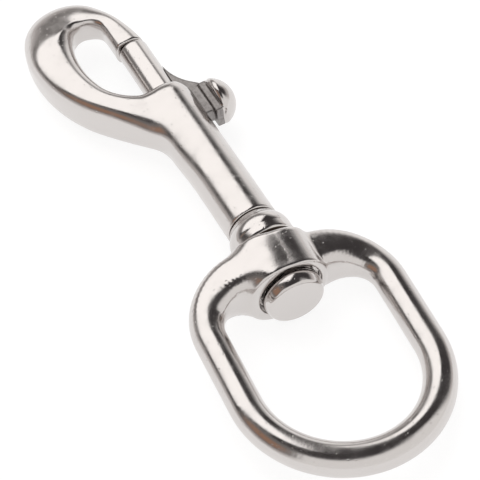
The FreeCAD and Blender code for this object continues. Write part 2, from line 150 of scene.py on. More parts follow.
def grid_surface(solid, low, high, cell):
    """Corners and four-sided faces of a solid's surface, found on a regular grid (surface nets)."""
    axes = [np.arange(low[k], high[k] + cell, cell) for k in range(3)]
    counts = [len(axis) for axis in axes]
    plan = np.stack(np.meshgrid(axes[0], axes[1], indexing="ij"), axis=-1).reshape(-1, 2)
    value = solid(plan, np.broadcast_to(axes[2], (len(plan), counts[2]))).reshape(counts)
    inside = value < 0

    # one vertex in each cell that the surface crosses, at the mean of its edge crossings
    cells = tuple(count - 1 for count in counts)
    shifts = [(i, j, k) for i in (0, 1) for j in (0, 1) for k in (0, 1)]
    views = [tuple(slice(s, s + n) for s, n in zip(shift, cells)) for shift in shifts]
    filled = sum(inside[view].astype(int) for view in views)
    where = np.argwhere((filled > 0) & (filled < 8))
    corner_values = np.stack([value[view][tuple(where.T)] for view in views], axis=1)
    total = np.zeros((len(where), 3))
    hits = np.zeros(len(where))
    for a, shift_a in enumerate(shifts):
        for b, shift_b in enumerate(shifts):
            if b <= a or sum(abs(p - q) for p, q in zip(shift_a, shift_b)) != 1:
                continue
            va, vb = corner_values[:, a], corner_values[:, b]
            crossing = (va < 0) != (vb < 0)
            t = np.where(crossing, va / np.where(crossing, va - vb, 1.0), 0.0)
            point = np.array(shift_a) + t[:, None] * (np.array(shift_b) - np.array(shift_a))
            total += point * crossing[:, None]
            hits += crossing
    vertices = (where + total / hits[:, None]) * cell + np.array(low)

    # one face round each grid edge that the surface crosses
    number = np.full(cells, -1)
    number[tuple(where.T)] = np.arange(len(where))
    faces = []
    for axis in range(3):
        first, second = (axis + 1) % 3, (axis + 2) % 3
        near = np.take(inside, range(counts[axis] - 1), axis=axis)
        far = np.take(inside, range(1, counts[axis]), axis=axis)
        edges = np.argwhere(near != far)
        edges = edges[(edges[:, first] > 0) & (edges[:, second] > 0)]
        back_first, back_second = np.zeros(3, dtype=int), np.zeros(3, dtype=int)
        back_first[first] = 1
        back_second[second] = 1
        ring = [edges, edges - back_first, edges - back_first - back_second, edges - back_second]
        quad = np.stack([number[tuple(corner.T)] for corner in ring], axis=1)
        outward = near[tuple(edges.T)]
        quad[~outward] = quad[~outward][:, ::-1]
        faces.append(quad)
    return vertices, np.concatenate(faces)


def onto_surface(solid, vertices, steps=2, nudge=0.02, longest=0.3, least_slope=0.05):
    """Moves vertices along the solid's gradient, no more than longest at a time, onto its surface."""
    for _ in range(steps):
        value = solid(vertices[:, :2], vertices[:, 2:])[:, 0]
        gradient = np.empty_like(vertices)
        for axis in range(3):
            shifted = vertices.copy()
            shifted[:, axis] += nudge
            gradient[:, axis] = (solid(shifted[:, :2], shifted[:, 2:])[:, 0] - value) / nudge
        squared = np.maximum((gradient ** 2).sum(axis=1), least_slope)
        move = gradient * (value / squared)[:, None]
        reach = np.linalg.norm(move, axis=1)
        move *= np.minimum(1.0, longest / np.maximum(reach, TINY))[:, None]
        vertices = vertices - move
    return vertices


def evened(vertices, faces, amount):
    """Each vertex moved part of the way to the mean of its neighbours."""
    total = np.zeros_like(vertices)
    count = np.zeros(len(vertices))
    for a, b in ((0, 1), (1, 2), (2, 3), (3, 0)):
        for here, there in ((faces[:, a], faces[:, b]), (faces[:, b], faces[:, a])):
            for axis in range(3):
                total[:, axis] += np.bincount(here, vertices[there, axis], minlength=len(vertices))
            count += np.bincount(here, minlength=len(vertices))
    return vertices + amount * (total / np.maximum(count, 1)[:, None] - vertices)


def finish_mesh(name, vertices, faces, placement, sharp_degrees):
    """A placed piece, shaded smooth except where its faces meet at more than sharp_degrees."""
    mesh = bpy.data.meshes.new(name)
    mesh.from_pydata([tuple(v) for v in vertices], [], [tuple(f) for f in faces])
    mesh.transform(placement)
    mesh.validate()
    mesh.polygons.foreach_set("use_smooth", [True] * len(mesh.polygons))
    mesh.set_sharp_from_angle(angle=math.radians(sharp_degrees))
    mesh.update()
    piece = bpy.data.objects.new(name, mesh)
    bpy.context.scene.collection.objects.link(piece)
    return piece


def cast_piece(name, solid, low, high, cell, placement=TO_FRAME, rounds=3, evening=0.6, sharp_degrees=50):
    """A piece whose mesh lies on an implicit solid, with evenly spread vertices."""
    vertices, faces = grid_surface(solid, low, high, cell)
    vertices = onto_surface(solid, vertices)
    for _ in range(rounds):
        vertices = onto_surface(solid, evened(vertices, faces, evening))
    return finish_mesh(name, vertices, faces, placement, sharp_degrees)


def turned_piece(name, profile, placement=TO_FRAME, segments=128, sharp_degrees=35):
    """A lathe-turned piece from a closed profile of (radius, level) points about its own Y axis."""
    vertices, faces, rings = [], [], []
    for radius, level in profile:
        if radius < TINY:
            rings.append([len(vertices)] * segments)
            vertices.append((0.0, level, 0.0))
            continue
        rings.append(list(range(len(vertices), len(vertices) + segments)))
        for k in range(segments):
            angle = 2 * math.pi * k / segments
            vertices.append((radius * math.cos(angle), level, radius * math.sin(angle)))
    open_ended = profile[0][0] < TINY and profile[-1][0] < TINY
    for index in range(len(rings) - (1 if open_ended else 0)):
        lower, upper = rings[index], rings[(index + 1) % len(rings)]
        for k in range(segments):
            n = (k + 1) % segments
            face = []
            for corner in (lower[k], upper[k], upper[n], lower[n]):
                if corner not in face:
                    face.append(corner)
            if len(face) > 2:
                faces.append(face)
    return finish_mesh(name, vertices, faces, placement, sharp_degrees)


# ---------------------------------------------------------------- hook body

NECK_RADIUS = 8.0
ARM_LEAN = 37.0
ARM_RADIUS = 28.0
ARM_END = (-19.0, 51.8)
# The arcs of the hook's back follow one another: radius, and the direction off +Y in which it ends.
CHEEK = (20.0, 24.0)
CROWN = (9.3, 100.0)
BROW = (8.0, 150.0)
NOSE = (34.0, 173.0)
TIP_INNER_X = -3.2
BIGHT_RADIUS = 3.0
BIGHT_LEVEL = 54.2
WALL_LEAN = 20.0
WALL_RADIUS = 22.0
LIP_LEAN = 18.0
LIP_RADIUS = 9.0
LIP_END_LEAN = 88.0
LIP_FOOT_LEVEL = 34.2
NOSE_RUN_OUT = (0.3, -4.0)
TIP_RUN_OUT = 4.0
BAND_ROOT_LEVEL = 8.0
BAND_ROOT_HALF_WIDTH = 2.4
BAND_BACK_INSET = 0.4
BAND_BACK_DROP = 3.0

# Angles about the bight's centre are 180 or more on the arm, 90 at the crown and 0 by the nose. A pair
# of angles or levels is where a change starts and where it is complete.
CROWN_ARM_ANGLES = (195.0, 140.0)
CROWN_NOSE_ANGLES = (15.0, 75.0)
CROWN_LEFT_AT_NOSE = 0.4
DROP_ANGLES = (184.0, 84.0)
CROWN_DROP = 1.6
RIDGE_SHIFT = 0.32
DOME_POWER = 2.8
CROWN_POWER_DROP = 0.7
ROOT_THINNING = 1.6
ROOT_THINNING_LEVELS = (34.0, 12.0)
LEAST_BREADTH = 3.0
ANGLE_WRAP_DEPTH = 4.5
TIP_CUT_X = -6.5
TIP_CUT_BOTTOM = 40.0
BAND_EDGE = 0.3
TIP_EDGE = 0.5
MOUTH_EDGE = 3.6
BAND_FILLET = 1.6
SEAM_EDGE = 0.4
BORE_EDGE = 0.5
SLOT_EDGE = 0.4
BORE_RUN_OUT = 3.0


def swung(start, radius, first, last, count=16):
    """Points of an arc from start, as its direction turns from first to last degrees off +Y."""
    angles = np.radians(np.linspace(first, last, count))
    x = start[0] + radius * (math.cos(angles[0]) - np.cos(angles))
    y = start[1] + radius * (np.sin(angles) - math.sin(angles[0]))
    return np.stack([x, y], axis=1)


def hook_outside():
    """From the barrel up the arm, round cheek, crown and brow and down the nose, past the tip's end."""
    arm = swung(ARM_END, ARM_RADIUS, 0, -ARM_LEAN, 28)[::-1]
    lean = math.radians(ARM_LEAN)
    neck_x = -BARREL_RADIUS - NECK_RADIUS * (1 - math.cos(lean))
    neck_level = arm[0][1] - (neck_x - arm[0][0]) / math.tan(lean)
    neck_end = neck_level - NECK_RADIUS * math.sin(lean)
    neck = arc_points((-BARREL_RADIUS - NECK_RADIUS, neck_end), NECK_RADIUS, 0, ARM_LEAN, 12)
    back = (-BARREL_RADIUS + BAND_BACK_INSET, neck_end - BAND_BACK_DROP)
    root = [(-BAND_ROOT_HALF_WIDTH, BAND_ROOT_LEVEL), back]
    pieces = [np.array(root), neck, arm]
    turn = 0.0
    for radius, end in (CHEEK, CROWN, BROW, NOSE):
        pieces.append(swung(pieces[-1][-1], radius, turn, end)[1:])
        turn = end
    pieces.append(np.array([pieces[-1][-1] + NOSE_RUN_OUT]))
    return np.concatenate(pieces)


def hook_inside():
    """From the tip round the bight, down the wall, along the lip and on into the barrel."""
    bight_centre = (TIP_INNER_X - BIGHT_RADIUS, BIGHT_LEVEL)
    bight = arc_points(bight_centre, BIGHT_RADIUS, 0, 180 - WALL_LEAN, 30)
    wall = swung(bight[-1], WALL_RADIUS, WALL_LEAN, -LIP_LEAN)[1:]
    lip = swung(wall[-1], LIP_RADIUS, -LIP_LEAN, -LIP_END_LEAN, 24)[1:]
    tip = [(TIP_INNER_X, TIP_END_LEVEL - TIP_RUN_OUT)]
    root = [(BAND_ROOT_HALF_WIDTH, LIP_FOOT_LEVEL), (BAND_ROOT_HALF_WIDTH, BAND_ROOT_LEVEL)]
    return np.concatenate([tip, bight, wall, lip, root])


HOOK_OUTSIDE = hook_outside()
HOOK_INSIDE = hook_inside()
HOOK_OUTLINE = np.concatenate([HOOK_OUTSIDE, HOOK_INSIDE])


def across_band(plan, wall):
    """Place across the hook's band, 0 at its outer edge and 1 at its inner one, with the breadth there."""
    outer = nearest_on_path(plan, HOOK_OUTSIDE, closed=False)[0]
    inner = nearest_on_path(plan, HOOK_INSIDE, closed=False)[0]
    beyond = np.maximum(wall, 0.0)
    breadth = np.where(wall > 0, np.maximum(np.abs(outer - inner), LEAST_BREADTH), outer + inner)
    within = outer / (outer + inner + TINY)
    outside = np.where(outer < inner, -beyond, breadth + beyond) / breadth
    return np.where(wall < 0, within, outside), breadth


def round_bight(x, y):
    """Angle about the bight's centre; the arm's foot and the barrel count on past 180."""
    around = np.degrees(np.arctan2(y - BIGHT_LEVEL, x - TIP_INNER_X + BIGHT_RADIUS))
    # small negative angles are on the tip itself, unless they are well below its end
    below_tip = y < TIP_END_LEVEL - ANGLE_WRAP_DEPTH
    return np.where((around < -90) | ((around < 0) & below_tip), around + 360, around)


def hook_band(plan, z):
    """The hook's band, domed between its two edges.

    Round the crown the ridge lies near the inner edge, which ends there in a flat wall."""
    x, y = plan[:, 0], plan[:, 1]
    wall = inside_outline(plan, HOOK_OUTLINE)
    across, breadth = across_band(plan, wall)
    around = round_bight(x, y)
    near_nose = CROWN_LEFT_AT_NOSE + (1 - CROWN_LEFT_AT_NOSE) * smooth_step(*CROWN_NOSE_ANGLES, around)
    crown = smooth_step(*CROWN_ARM_ANGLES, around) * near_nose
    drop = CROWN_DROP * smooth_step(*DROP_ANGLES, around)
    ridge = 0.5 + RIDGE_SHIFT * crown
    power = (DOME_POWER - CROWN_POWER_DROP * crown)[:, None]
    offset = across - ridge
    side = np.where(offset < 0, -offset / ridge, offset / (1 - ridge))
    half = HOOK_HALF_THICKNESS - drop - ROOT_THINNING * smooth_step(*ROOT_THINNING_LEVELS, y)
    section = side[:, None] ** power + (np.abs(z) / half[:, None]) ** power
    band = (section ** (1 / power) - 1.0) * np.minimum(breadth / 2, HOOK_HALF_THICKNESS)[:, None]
    band = smooth_max(band, wall[:, None], BAND_EDGE)
    past_tip = np.maximum(np.maximum(y - TIP_END_LEVEL, TIP_CUT_X - x), TIP_CUT_BOTTOM - y)
    return smooth_max(band, -past_tip[:, None], TIP_EDGE)


def hook_body_solid(plan, z):
    """The band run into the barrel, which is bored from the seam to the mouth and slotted on +X."""
    x, y = plan[:, 0], plan[:, 1]
    from_axis = np.sqrt(x[:, None] ** 2 + z ** 2)
    barrel = smooth_max(from_axis - BARREL_RADIUS, (y - MOUTH_LEVEL)[:, None], MOUTH_EDGE)
    solid = smooth_min(hook_band(plan, z), barrel, BAND_FILLET)
    solid = smooth_max(solid, -y[:, None], SEAM_EDGE)

    above_mouth = (y - MOUTH_LEVEL - BORE_RUN_OUT)[:, None]
    bore = np.maximum(from_axis - BORE_RADIUS, above_mouth)
    solid = smooth_max(solid, -bore, BORE_EDGE)
    slot_half = SLOT_WIDTH / 2
    past_end = np.maximum(SLOT_BOTTOM + slot_half - y, 0.0)[:, None]
    slot = np.maximum(np.sqrt(past_end ** 2 + z ** 2) - slot_half, -x[:, None])
    return smooth_max(solid, -np.maximum(slot, above_mouth), SLOT_EDGE)


# ---------------------------------------------------------------- swivel eye

BOSS_RADIUS = 6.7
BOSS_POWER = 2.6
BOSS_TOP = -6.65
BOSS_BOTTOM = -15.2
RECESS_RADIUS = 5.8
RECESS_DEPTH = 1.35
EYE_BORE_RADIUS = 2.03
BAR_LEVEL = -10.8
EYE_HALF_WIDTH = 16.5
SHOULDER_RADIUS = 9.0
SIDE_END_LEVEL = -33.7
WIRE_RADIUS = 2.9
WIRE_POWER = 2.0
BAR_RADIUS = 4.15
BAR_POWER = 3.4
# A taper is a pair of distances along the wire from the middle of the boss, and the left side a pair
# of places along X: where a change starts and where it is complete.
TAPER_IN_PLANE = (5.0, 21.0)
TAPER_ACROSS = (5.0, 18.0)
BAR_PROUD = 0.3
LEFT_PROUD = 1.0
LEFT_SIDE = (4.0, -4.0)
BAR_CREASE = 0.6
LEFT_FILLET = 2.2
BOSS_TOP_EDGE = 1.1
BOSS_BOTTOM_EDGE = 0.5
RECESS_EDGE = 0.4
EYE_BORE_EDGE = 0.3
EYE_BORE_RUN_OUT = 3.0


def eye_centreline():
    """Middle of the eye's wire, once round from the middle of the boss.

    The eye's half width is measured to it."""
    straight = EYE_HALF_WIDTH - SHOULDER_RADIUS
    shoulder = BAR_LEVEL - SHOULDER_RADIUS
    right = np.concatenate([
        [(0.0, BAR_LEVEL), (straight / 2, BAR_LEVEL)],
        arc_points((straight, shoulder), SHOULDER_RADIUS, 90, 0, 18),
        arc_points((0.0, SIDE_END_LEVEL), EYE_HALF_WIDTH, 0, -90, 30),
    ])
    left = right[1:-1][::-1] * np.array([-1.0, 1.0])
    return np.concatenate([right, left])


EYE_CENTRELINE = eye_centreline()


def along_from_boss(path):
    """Distance of each point of the closed eye path from the boss, the shorter way round."""
    steps = np.linalg.norm(np.roll(path, -1, axis=0) - path, axis=1)
    one_way = np.concatenate([[0.0], np.cumsum(steps)[:-1]])
    return np.minimum(one_way, steps.sum() - one_way)


EYE_ALONG = along_from_boss(EYE_CENTRELINE)


def swivel_eye_solid(plan, z):
    """Round wire that thickens into squarer bars at the boss, which is bored and recessed."""
    x, y = plan[:, 0], plan[:, 1]
    away, index, _ = nearest_on_path(plan, EYE_CENTRELINE, closed=True)
    wrapped = np.concatenate([EYE_ALONG, EYE_ALONG[:1]])
    along = np.interp(index, np.arange(len(wrapped)), wrapped)
    slim = smooth_step(*TAPER_IN_PLANE, along)
    in_plane = BAR_RADIUS + (WIRE_RADIUS - BAR_RADIUS) * slim
    # the left bar, on -X, stands almost as proud as the boss and runs into it; the right one meets it
    # in a crease
    near_left = smooth_step(*LEFT_SIDE, x)
    proud = BAR_RADIUS + BAR_PROUD + LEFT_PROUD * near_left
    across = proud + (WIRE_RADIUS - proud) * smooth_step(*TAPER_ACROSS, along)
    power = (BAR_POWER + (WIRE_POWER - BAR_POWER) * slim)[:, None]
    section = (away / in_plane)[:, None] ** power + (np.abs(z) / across[:, None]) ** power
    wire = (section ** (1 / power) - 1.0) * in_plane[:, None]

    from_axis = (np.abs(x[:, None]) ** BOSS_POWER + np.abs(z) ** BOSS_POWER) ** (1 / BOSS_POWER)
    boss = smooth_max(from_axis - BOSS_RADIUS, (y - BOSS_TOP)[:, None], BOSS_TOP_EDGE)
    boss = smooth_max(boss, (BOSS_BOTTOM - y)[:, None], BOSS_BOTTOM_EDGE)
    solid = smooth_min(wire, boss, (BAR_CREASE + LEFT_FILLET * near_left)[:, None])

    radial = np.sqrt(x[:, None] ** 2 + z ** 2)
    below_boss = (BOSS_BOTTOM - EYE_BORE_RUN_OUT - y)[:, None]
    recess = np.maximum(radial - RECESS_RADIUS, (y - BOSS_BOTTOM - RECESS_DEPTH)[:, None])
    solid = smooth_max(solid, -np.maximum(recess, below_boss), RECESS_EDGE)
    return smooth_max(solid, -np.maximum(radial - EYE_BORE_RADIUS, below_boss), EYE_BORE_EDGE)


# ---------------------------------------------------------------- thumb stud

KNOB_LEVEL = 28.8
KNOB_RIM_X = 7.2
KNOB_DOME_RADIUS = 4.75
KNOB_TOP_X = 11.2
KNOB_RIM_RADIUS = 3.75
KNOB_FLARE = 1.6
FLARE_SCALE = 0.53
DOME_EDGE = 0.7
KNOB_EDGE = 0.3
PLUNGER_RADIUS = 2.87
PLUNGER_GAP = 0.02
PLUNGER_GAP_EDGE = 0.1
WEB_HALF_THICKNESS = 1.5
WEB_EDGE = 0.5
WEB_BOTTOM = 25.9
WEB_TOP = 41.9
WEB_IN_KNOB = 0.2
WEB_FOOT_CLEARANCE = 0.7
WEB_FOOT_RISE = 5.9
WEB_SWEEP_CENTRE = (12.75, 41.55)
WEB_SWEEP_RADIUS = 10.0
WEB_SWEEP_ANGLES = (223, 178)
BASE_MIDDLE_X = 6.75
BASE_HALF_DEPTH = 0.75
BASE_HALF_LENGTH = 3.9
BASE_HALF_THICKNESS = 2.3
BASE_EDGE = 0.4


def web_outline():
    """Side view of the cast web: its straight side under the knob, its foot and its sweep up the plunger."""
    side = KNOB_RIM_X + WEB_IN_KNOB
    foot = (BARREL_RADIUS + WEB_FOOT_CLEARANCE, KNOB_LEVEL + WEB_FOOT_RISE)
    return np.concatenate([
        [(0.0, WEB_BOTTOM), (side, WEB_BOTTOM), (side, KNOB_LEVEL + BASE_HALF_LENGTH), foot],
        arc_points(WEB_SWEEP_CENTRE, WEB_SWEEP_RADIUS, *WEB_SWEEP_ANGLES, 12),
        [(0.0, WEB_TOP)],
    ])


WEB_OUTLINE = web_outline()


def thumb_stud_solid(plan, z):
    """The web with its broader base and the knob on top, cut clear of the plunger."""
    x, y = plan[:, 0], plan[:, 1]
    outline = inside_outline(plan, WEB_OUTLINE)[:, None]
    web = smooth_max(outline, np.abs(z) - WEB_HALF_THICKNESS, WEB_EDGE)
    past_base = np.abs(y - KNOB_LEVEL) - BASE_HALF_LENGTH
    base = np.maximum(np.abs(x - BASE_MIDDLE_X) - BASE_HALF_DEPTH, past_base)[:, None]
    base = smooth_max(base, np.abs(z) - BASE_HALF_THICKNESS, BASE_EDGE)
    stud = smooth_min(web, base, BASE_EDGE)

    from_axis = np.sqrt(((y - KNOB_LEVEL) ** 2)[:, None] + z ** 2)
    along = x[:, None]
    dome = np.sqrt((along - (KNOB_TOP_X - KNOB_DOME_RADIUS)) ** 2 + from_axis ** 2) - KNOB_DOME_RADIUS
    # the flare is a cone, and its scale, one over the length of its slope, makes it a distance
    flare = (from_axis - KNOB_RIM_RADIUS - (along - KNOB_RIM_X) * KNOB_FLARE) * FLARE_SCALE
    knob = smooth_max(smooth_max(dome, flare, DOME_EDGE), KNOB_RIM_X - along, KNOB_EDGE)
    stud = smooth_min(stud, knob, KNOB_EDGE)
    in_plunger = PLUNGER_RADIUS + PLUNGER_GAP - np.sqrt(x[:, None] ** 2 + z ** 2)
    return smooth_max(stud, in_plunger, PLUNGER_GAP_EDGE)


# ---------------------------------------------------------------- turned pieces

PLUNGER_TAIL_LEVEL = 23.5
PLUNGER_CHAMFER = 0.3
PLUNGER_END_ROUND = 0.7
COLLAR_BORE_RADIUS = 2.4
COLLAR_FACE_RADIUS = 4.9
COLLAR_FACE_LEVEL = -6.0
GROOVE_RADIUS = 4.0
GROOVE_DEPTH = 0.06
GROOVE_FOOT_DEPTH = 0.02
SPIGOT_BORE_RADIUS = 2.6
SPIGOT_FLOOR_LEVEL = 2.3
SPIGOT_FLOOR_FOOT = 2.2
STUD_FACE = [(0.0, -18.08), (2.5, -18.05), (4.4, -17.97)]
STUD_SHOULDER_LEVEL = -14.0
STEM_RADIUS = 1.95
RIVET_RADIUS = 2.25
RIVET_LEVEL = 2.5
RIVET_TOP_LEVEL = 3.2
RIVET_CHAMFER = (0.25, 0.2)


def bend(centre, radius, start, end, count=8):
    """Rounded stretch of a turned profile, from start to end in degrees, as (radius, level) points."""
    return [tuple(point) for point in arc_points(centre, radius, start, end, count)]


def plunger_profile():
    """Plain rod with a chamfered tail and a rounded end."""
    tail, end = PLUNGER_TAIL_LEVEL, PLUNGER_END_LEVEL
    end_round = (PLUNGER_RADIUS - PLUNGER_END_ROUND, end - PLUNGER_END_ROUND)
    return (
        [(0.0, tail), (PLUNGER_RADIUS - PLUNGER_CHAMFER, tail), (PLUNGER_RADIUS, tail + PLUNGER_CHAMFER)]
        + bend(end_round, PLUNGER_END_ROUND, 0, 90)
        + [(0.0, end)]
    )


def collar_profile():
    """Bulged collar with its spigot; the seam against the barrel is a shallow rough groove."""
    return (
        [(COLLAR_BORE_RADIUS, COLLAR_FACE_LEVEL), (COLLAR_FACE_RADIUS, COLLAR_FACE_LEVEL)]
        + bend((4.75, -5.0), 1.0, -80, -8, 7)
        + bend((2.1, -3.3), 3.66, -12, 38, 16)
        + bend((4.35, -0.42), 0.36, 20, 90, 6)
        + [(GROOVE_RADIUS, -GROOVE_DEPTH), (BORE_RADIUS, -GROOVE_FOOT_DEPTH)]
        + [(radius, COLLAR_SPIGOT_LENGTH) for radius in (BORE_RADIUS, SPIGOT_BORE_RADIUS)]
        + [(SPIGOT_BORE_RADIUS, SPIGOT_FLOOR_LEVEL), (COLLAR_BORE_RADIUS, SPIGOT_FLOOR_FOOT)]
    )


def stud_profile():
    """Headed stem: broad, nearly flat end face, full rounded side, and a riveted far end."""
    inset, rise = RIVET_CHAMFER
    return (
        STUD_FACE
        + bend((4.35, -17.2), 0.78, -75, -20, 6)
        + bend((2.6, -16.1), 2.8, -20, 22, 10)
        + bend((4.35, -14.95), 0.95, 15, 88, 8)
        + [(STEM_RADIUS, STUD_SHOULDER_LEVEL), (STEM_RADIUS, RIVET_LEVEL)]
        + [(RIVET_RADIUS, RIVET_LEVEL), (RIVET_RADIUS, RIVET_TOP_LEVEL - rise)]
        + [(RIVET_RADIUS - inset, RIVET_TOP_LEVEL), (0.0, RIVET_TOP_LEVEL)]
    )


def spring_piece():
    """Round wire wound into the open compression coil behind the plunger."""
    wire, coil, first, last, pitch = 0.3, 2.3, 3.82, 23.18, 2.35
    steps_per_turn, ring = 40, 10
    count = int((last - first) / pitch * steps_per_turn)
    vertices, faces = [], []
    for step in range(count + 1):
        angle = 2 * math.pi * step / steps_per_turn
        level = first + (last - first) * step / count
        out = Vector((math.cos(angle), 0.0, math.sin(angle)))
        for k in range(ring):
            turn = 2 * math.pi * k / ring
            spot = out * (coil + wire * math.cos(turn))
            vertices.append((spot.x, level + wire * math.sin(turn), spot.z))
        if step:
            for k in range(ring):
                a, b = (step - 1) * ring + k, (step - 1) * ring + (k + 1) % ring
                faces.append((a, a + ring, b + ring, b))
    faces.append(tuple(range(ring)))
    faces.append(tuple(reversed(range(count * ring, (count + 1) * ring))))
    return finish_mesh("coil_spring", vertices, faces, TO_FRAME, sharp_degrees=60)


# ---------------------------------------------------------------- materials

POLISHED = (0.645, 0.615, 0.6)
CAST = (0.42, 0.40, 0.39)
CAST_DARK = (0.22, 0.205, 0.2)
CAST_LIGHT = (0.38, 0.36, 0.35)
SEAM = (0.10, 0.075, 0.06)
DRAWN = (0.50, 0.49, 0.48)


def new_material(name, colour, roughness):
    """A plain metal, with its nodes, links and shader for what comes on top."""
    material = bpy.data.materials.new(name)
    material.use_nodes = True
    nodes = material.node_tree.nodes
    shader = nodes["Principled BSDF"]
    shader.inputs["Metallic"].default_value = 1.0
    shader.inputs["Base Color"].default_value = (*colour, 1.0)
    shader.inputs["Roughness"].default_value = roughness
    return material, nodes, material.node_tree.links, shader


def noise(nodes, links, coordinates, scale, detail):
    """Cloudy values round a half, the finer the larger the scale."""
    texture = nodes.new("ShaderNodeTexNoise")
    texture.inputs["Scale"].default_value = scale
    texture.inputs["Detail"].default_value = detail
    links.new(coordinates, texture.inputs["Vector"])
    return texture.outputs["Fac"]


def remap(nodes, links, value, taken, given):
    """The value stretched from the span taken to the span given."""
    ramp = nodes.new("ShaderNodeMapRange")
    ramp.inputs["From Min"].default_value = taken[0]
    ramp.inputs["From Max"].default_value = taken[1]
    ramp.inputs["To Min"].default_value = given[0]
    ramp.inputs["To Max"].default_value = given[1]
    links.new(value, ramp.inputs["Value"])
    return ramp.outputs["Result"]


def bump(nodes, links, height, strength, distance, below=None):
    """A normal roughened by height, on top of the normal below where there is one."""
    node = nodes.new("ShaderNodeBump")
    node.inputs["Strength"].default_value = strength
    node.inputs["Distance"].default_value = distance
    links.new(height, node.inputs["Height"])
    if below is not None:
        links.new(below, node.inputs["Normal"])
    return node.outputs["Normal"]


def polished_steel(name, roughness=0.17):
    """Tumbled and buffed stainless casting: soft ripple, fine grain and a few small pits."""
    material, nodes, links, shader = new_material(name, POLISHED, roughness)
    place = nodes.new("ShaderNodeTexCoord").outputs["Object"]
    grain = noise(nodes, links, place, scale=2600.0, detail=3.0)
    wave = noise(nodes, links, place, scale=260.0, detail=2.0)
    cloud = noise(nodes, links, place, scale=420.0, detail=4.0)
    cells = nodes.new("ShaderNodeTexVoronoi")
    cells.inputs["Scale"].default_value = 900.0
    links.new(place, cells.inputs["Vector"])
    pit = remap(nodes, links, cells.outputs["Distance"], taken=(0.05, 0.16), given=(0.0, 1.0))
    sheen = remap(nodes, links, cloud, taken=(0.3, 0.75), given=(roughness * 0.7, roughness * 1.6))
    links.new(sheen, shader.inputs["Roughness"])
    normal = bump(nodes, links, wave, strength=0.1, distance=0.06 * MM)
    normal = bump(nodes, links, pit, strength=0.7, distance=0.03 * MM, below=normal)
    normal = bump(nodes, links, grain, strength=0.5, distance=0.015 * MM, below=normal)
    links.new(normal, shader.inputs["Normal"])
    return material


def cast_steel(name):
    """As-cast, shot-blasted stainless: dull, grey and grainy."""
    material, nodes, links, shader = new_material(name, CAST, roughness=0.42)
    place = nodes.new("ShaderNodeTexCoord").outputs["Object"]
    coarse = noise(nodes, links, place, scale=1500.0, detail=5.0)
    fine = noise(nodes, links, place, scale=5200.0, detail=3.0)
    mottle = nodes.new("ShaderNodeValToRGB")
    mottle.color_ramp.elements[0].position = 0.35
    mottle.color_ramp.elements[0].color = (*CAST_DARK, 1.0)
    mottle.color_ramp.elements[1].position = 0.68
    mottle.color_ramp.elements[1].color = (*CAST_LIGHT, 1.0)
    links.new(coarse, mottle.inputs["Fac"])
    links.new(mottle.outputs["Color"], shader.inputs["Base Color"])
    dullness = remap(nodes, links, coarse, taken=(0.3, 0.7), given=(0.3, 0.46))
    links.new(dullness, shader.inputs["Roughness"])
    normal = bump(nodes, links, coarse, strength=0.8, distance=0.09 * MM)
    normal = bump(nodes, links, fine, strength=0.5, distance=0.03 * MM, below=normal)
    links.new(normal, shader.inputs["Normal"])
    return material


def seam_steel(name):
    """Rough dark joint line between barrel and collar."""
    material, nodes, links, shader = new_material(name, SEAM, roughness=0.6)
    place = nodes.new("ShaderNodeTexCoord").outputs["Object"]
    rough = noise(nodes, links, place, scale=2200.0, detail=6.0)
    links.new(bump(nodes, links, rough, strength=1.0, distance=0.2 * MM), shader.inputs["Normal"])
    return material


def spring_steel(name):
    """Bright drawn wire."""
    material, nodes, links, shader = new_material(name, DRAWN, roughness=0.28)
    place = nodes.new("ShaderNodeTexCoord").outputs["Object"]
    drawn = noise(nodes, links, place, scale=3000.0, detail=3.0)
    sheen = remap(nodes, links, drawn, taken=(0.3, 0.7), given=(0.2, 0.38))
    links.new(sheen, shader.inputs["Roughness"])
    return material


def paint(piece, *materials, choose=None):
    """Gives each face the material whose number choose returns for the face's centre, in millimetres."""
    for material in materials:
        piece.data.materials.append(material)
    if choose is None:
        return
    to_axis = TO_FRAME.inverted()
    for face in piece.data.polygons:
        face.material_index = choose(to_axis @ face.center)


def knob_or_web(centre):
    """0 on the polished knob, 1 on its flat underside and the cast web."""
    return 0 if centre.x > KNOB_RIM_X + PAINT_MARGIN else 1


def bulge_or_seam(centre):
    """1 on the seam's groove and the spigot past it, and on the collar's end face; 0 between them."""
    return 1 if centre.y > SEAM_PAINT_LEVEL or centre.y < FACE_PAINT_LEVEL else 0


# ---------------------------------------------------------------- assembly

CELL = 0.26
THUMB_CELL = 0.2
HOOK_GRID = ((-20.2, -0.7, -5.3), (5.8, 66.4, 5.3))
EYE_GRID = ((-20.4, -54.0, -7.6), (20.4, -5.6, 7.6))
THUMB_GRID = ((0.4, 23.6, -5.0), (12.0, 42.8, 5.0))
PAINT_MARGIN = 0.02
SEAM_PAINT_LEVEL = -0.3
FACE_PAINT_LEVEL = -5.75

hook = cast_piece("hook_casting", hook_body_solid, *HOOK_GRID, CELL)
paint(hook, polished_steel("hook_polished"))
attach(hook, "body")
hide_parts("hook_body")

eye = cast_piece("eye_casting", swivel_eye_solid, *EYE_GRID, CELL, EYE_TO_FRAME)
paint(eye, polished_steel("eye_polished"))
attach(eye, "eye")
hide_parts("swivel_eye")

stud = cast_piece("thumb_casting", thumb_stud_solid, *THUMB_GRID, THUMB_CELL)
knob_steel = polished_steel("knob_polished", roughness=0.15)
paint(stud, knob_steel, cast_steel("web_cast"), choose=knob_or_web)
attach(stud, "bolt")
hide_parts("thumb_stud")

bolt = turned_piece("bolt_rod", plunger_profile())
paint(bolt, polished_steel("bolt_polished", roughness=0.12))
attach(bolt, "bolt")
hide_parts("plunger")

